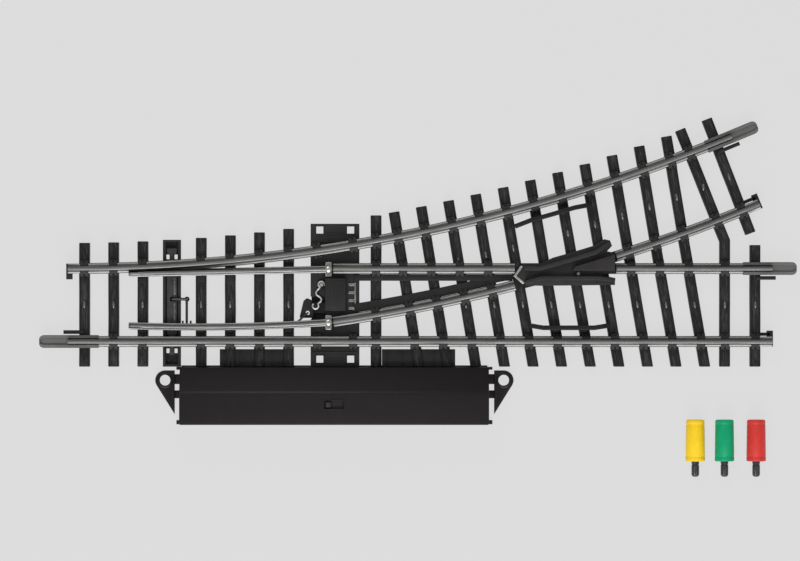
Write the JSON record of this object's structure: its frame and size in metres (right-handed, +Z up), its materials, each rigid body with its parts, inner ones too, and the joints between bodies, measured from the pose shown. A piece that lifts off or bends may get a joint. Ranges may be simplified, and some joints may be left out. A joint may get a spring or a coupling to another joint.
{
  "type": "model turnout switch",
  "caption": "Left-hand model railway turnout with pivoting blades, black sleepers and frog, guard rails, a flat box drive at the side and loose coloured wiring plugs.",
  "frame": {"origin": "centre of the whole model's box, on the surface that the sleepers stand on", "axes": "+X along the straight route from the toe end, +Y across the track towards the branch, +Z up"},
  "size_m": [0.1818, 0.0862, 0.0095],
  "materials": {
    "frame_plastic": "moulded sleeper plastic with fine grain",
    "black_plastic": "satin black moulded plastic",
    "rail_steel": "drawn grey steel, satin",
    "spring_steel": "bright drawn wire",
    "dark_steel": "blackened steel",
    "brass": "stamped strip",
    "copper": "enamelled copper winding",
    "grey_plastic": "moulded grey plastic",
    "plug_yellow": "yellow moulded plastic",
    "plug_green": "green moulded plastic",
    "plug_red": "red moulded plastic"
  },
  "bodies": {
    "track": {"bottom_plate": "black_plastic", "branch_rail_joiner": "rail_steel", "common_terminal_tab": "brass", "curved_closure_rail": "rail_steel", "curved_exit_rail": "rail_steel", "curved_heel_pin": "spring_steel", "curved_stock_rail": "rail_steel", "drive_base": "black_plastic", "drive_cover": "black_plastic", "frog": "black_plastic", "green_plug_pin": "dark_steel", "green_plug_sleeve": "plug_green", "left_coil_bobbin": "grey_plastic", "left_coil_winding": "copper", "left_cover_screw": "dark_steel", "left_end_contact": "brass", "left_terminal_tab": "brass", "lower_guard_rail": "black_plastic", "mechanism_cover": "black_plastic", "red_plug_pin": "dark_steel", "red_plug_sleeve": "plug_red", "right_coil_bobbin": "grey_plastic", "right_coil_winding": "copper", "right_cover_screw": "dark_steel", "right_end_contact": "brass", "right_terminal_tab": "brass", "sleeper_frame": "frame_plastic", "spring_post": "spring_steel", "straight_closure_rail": "rail_steel", "straight_exit_rail": "rail_steel", "straight_heel_pin": "spring_steel", "straight_rail_joiner": "rail_steel", "straight_stock_rail": "rail_steel", "toe_rail_joiner": "rail_steel", "upper_guard_rail": "black_plastic", "yellow_plug_pin": "dark_steel", "yellow_plug_sleeve": "plug_yellow"},
    "drive_carrier": {"plunger": "dark_steel", "drive_slide": "grey_plastic"},
    "control_slide": {"control_slide": "black_plastic", "push_rod": "dark_steel"},
    "crank": {"crank": "dark_steel"},
    "tie_bar": {"tie_bar": "black_plastic"},
    "straight_blade": {"straight_blade": "rail_steel"},
    "curved_blade": {"curved_blade": "rail_steel"},
    "toggle_spring": {"toggle_spring": "spring_steel"}
  },
  "joints": [
    {"name": "drive_throw", "type": "slide", "parent": "track", "child": "drive_carrier", "axis": [1, 0, 0], "range_m": [0, 0.0028]},
    {"name": "control_slide_travel", "type": "slide", "parent": "track", "child": "control_slide", "axis": [1, 0, 0], "range_m": [0, 0.0028]},
    {"name": "crank_turn", "type": "hinge", "parent": "track", "child": "crank", "pos_m": [-0.05545, -0.00054, 0.00285], "axis": [0, 0, 1], "range_deg": [0, 30.55]},
    {"name": "tie_bar_travel", "type": "slide", "parent": "track", "child": "tie_bar", "axis": [0, -1, 0], "range_m": [0, 0.00183]},
    {"name": "straight_blade_swing", "type": "hinge", "parent": "track", "child": "straight_blade", "pos_m": [-0.02145, 0.00661, 0.0033], "axis": [0, 0, 1], "range_deg": [0, 2.81]},
    {"name": "curved_blade_swing", "type": "hinge", "parent": "track", "child": "curved_blade", "pos_m": [-0.02145, -0.00614, 0.0033], "axis": [0, 0, 1], "range_deg": [0, 2.81]},
    {"name": "toggle_spring_swing", "type": "hinge", "parent": "track", "child": "toggle_spring", "pos_m": [-0.02315, 0.00296, 0.00285], "axis": [0, 0, 1], "range_deg": [0, 30.72]}
  ],
  "couplings": [
    {"joint": "control_slide_travel", "follows": "drive_throw", "ratio": 1},
    {"joint": "crank_turn", "follows": "drive_throw", "rad_per_m": 190.33},
    {"joint": "tie_bar_travel", "follows": "drive_throw", "ratio": 0.65321},
    {"joint": "straight_blade_swing", "follows": "drive_throw", "rad_per_m": 17.379},
    {"joint": "curved_blade_swing", "follows": "drive_throw", "rad_per_m": 17.379},
    {"joint": "toggle_spring_swing", "follows": "drive_throw", "rad_per_m": 191.36}
  ]
}
